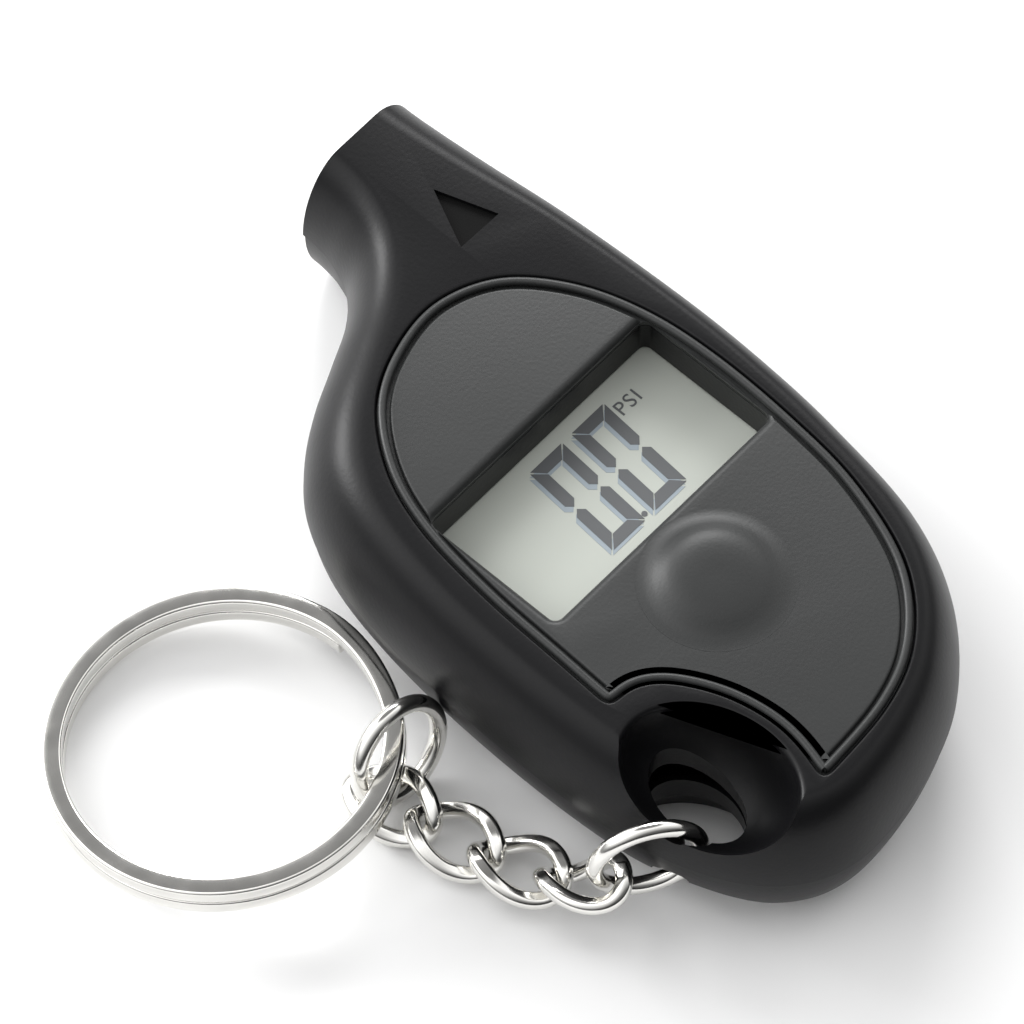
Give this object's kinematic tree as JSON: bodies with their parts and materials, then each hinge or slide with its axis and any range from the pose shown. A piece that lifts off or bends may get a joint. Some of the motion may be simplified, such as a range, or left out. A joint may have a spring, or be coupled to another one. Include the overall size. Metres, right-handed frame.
{
  "type": "digital tire pressure gauge",
  "caption": "Pocket digital tyre gauge with a display window, round button and valve nozzle, on a twisted-link chain and split key ring",
  "frame": {"origin": "centre of the flat back face that the gauge lies on", "axes": "+X along the display text, +Y out of the nozzle, +Z out of the front face"},
  "size_m": [0.0683, 0.0739, 0.0187],
  "materials": {
    "shell": "fine satin grain",
    "panel": "soft-touch grey",
    "lcd": "reflective display glass",
    "rubber": "dull",
    "board": "green solder mask",
    "epoxy": "smooth",
    "switch": "plain",
    "steel": "plain",
    "chrome": "bright nickel plate",
    "brass": "machined"
  },
  "bodies": {
    "case": {"front_shell": "shell", "back_shell": "shell", "face_panel": "panel", "lcd_cell": "lcd", "zebra_strip": "rubber", "lcd_pad": "rubber", "circuit_board": "board", "controller_blob": "epoxy", "switch_body": "switch", "pressure_sensor": "switch", "sensor_sleeve": "rubber", "valve_chuck": "brass", "valve_seal": "rubber", "depressor_pin": "brass", "coin_cell": "steel", "positive_contact": "brass", "negative_contact": "brass", "case_screw_1": "steel", "case_screw_2": "steel", "case_screw_3": "steel"},
    "button": {"button": "panel"},
    "plunger": {"switch_plunger": "switch"},
    "body_ring": {"body_ring": "chrome"},
    "chain_link_1": {"chain_link_1": "chrome"},
    "chain_link_2": {"chain_link_2": "chrome"},
    "chain_link_3": {"chain_link_3": "chrome"},
    "chain_link_4": {"chain_link_4": "chrome"},
    "jump_ring": {"jump_ring": "chrome"},
    "split_ring": {"split_ring": "chrome"}
  },
  "joints": [
    {"name": "button_press", "type": "slide", "parent": "case", "child": "button", "axis": [0, 0, -1], "range_m": [0, 0.0005], "stiffness_N_per_m": 300},
    {"name": "plunger_press", "type": "slide", "parent": "case", "child": "plunger", "axis": [0, 0, -1], "range_m": [0, 0.0005]},
    {"name": "body_ring_swing", "type": "hinge", "parent": "case", "child": "body_ring", "pos_m": [-0.0183, -0.0244, 0.00875], "axis": [0, 0, 1], "range_deg": [0, 8]},
    {"name": "link_1_swing", "type": "hinge", "parent": "body_ring", "child": "chain_link_1", "pos_m": [-0.0228, -0.0216, 0.007], "axis": [0, 0, 1], "range_deg": [0, 10]},
    {"name": "link_2_swing", "type": "hinge", "parent": "chain_link_1", "child": "chain_link_2", "pos_m": [-0.02365, -0.0177, 0.0031], "axis": [0, 0, 1], "range_deg": [0, 10]},
    {"name": "link_3_swing", "type": "hinge", "parent": "chain_link_2", "child": "chain_link_3", "pos_m": [-0.0254, -0.0118, 0.0025], "axis": [0, 0, 1], "range_deg": [0, 10]},
    {"name": "link_4_swing", "type": "hinge", "parent": "chain_link_3", "child": "chain_link_4", "pos_m": [-0.0267, -0.00575, 0.0022], "axis": [0, 0, 1], "range_deg": [0, 10]},
    {"name": "jump_ring_swing", "type": "hinge", "parent": "chain_link_4", "child": "jump_ring", "pos_m": [-0.0269, 0.0003, 0.0025], "axis": [0, 0, 1], "range_deg": [0, 8]},
    {"name": "split_ring_swing", "type": "hinge", "parent": "jump_ring", "child": "split_ring", "pos_m": [-0.024, -0.0004, 0.004], "axis": [0, 0, 1], "range_deg": [0, 8]}
  ],
  "couplings": [
    {"joint": "plunger_press", "follows": "button_press", "ratio": 1}
  ]
}
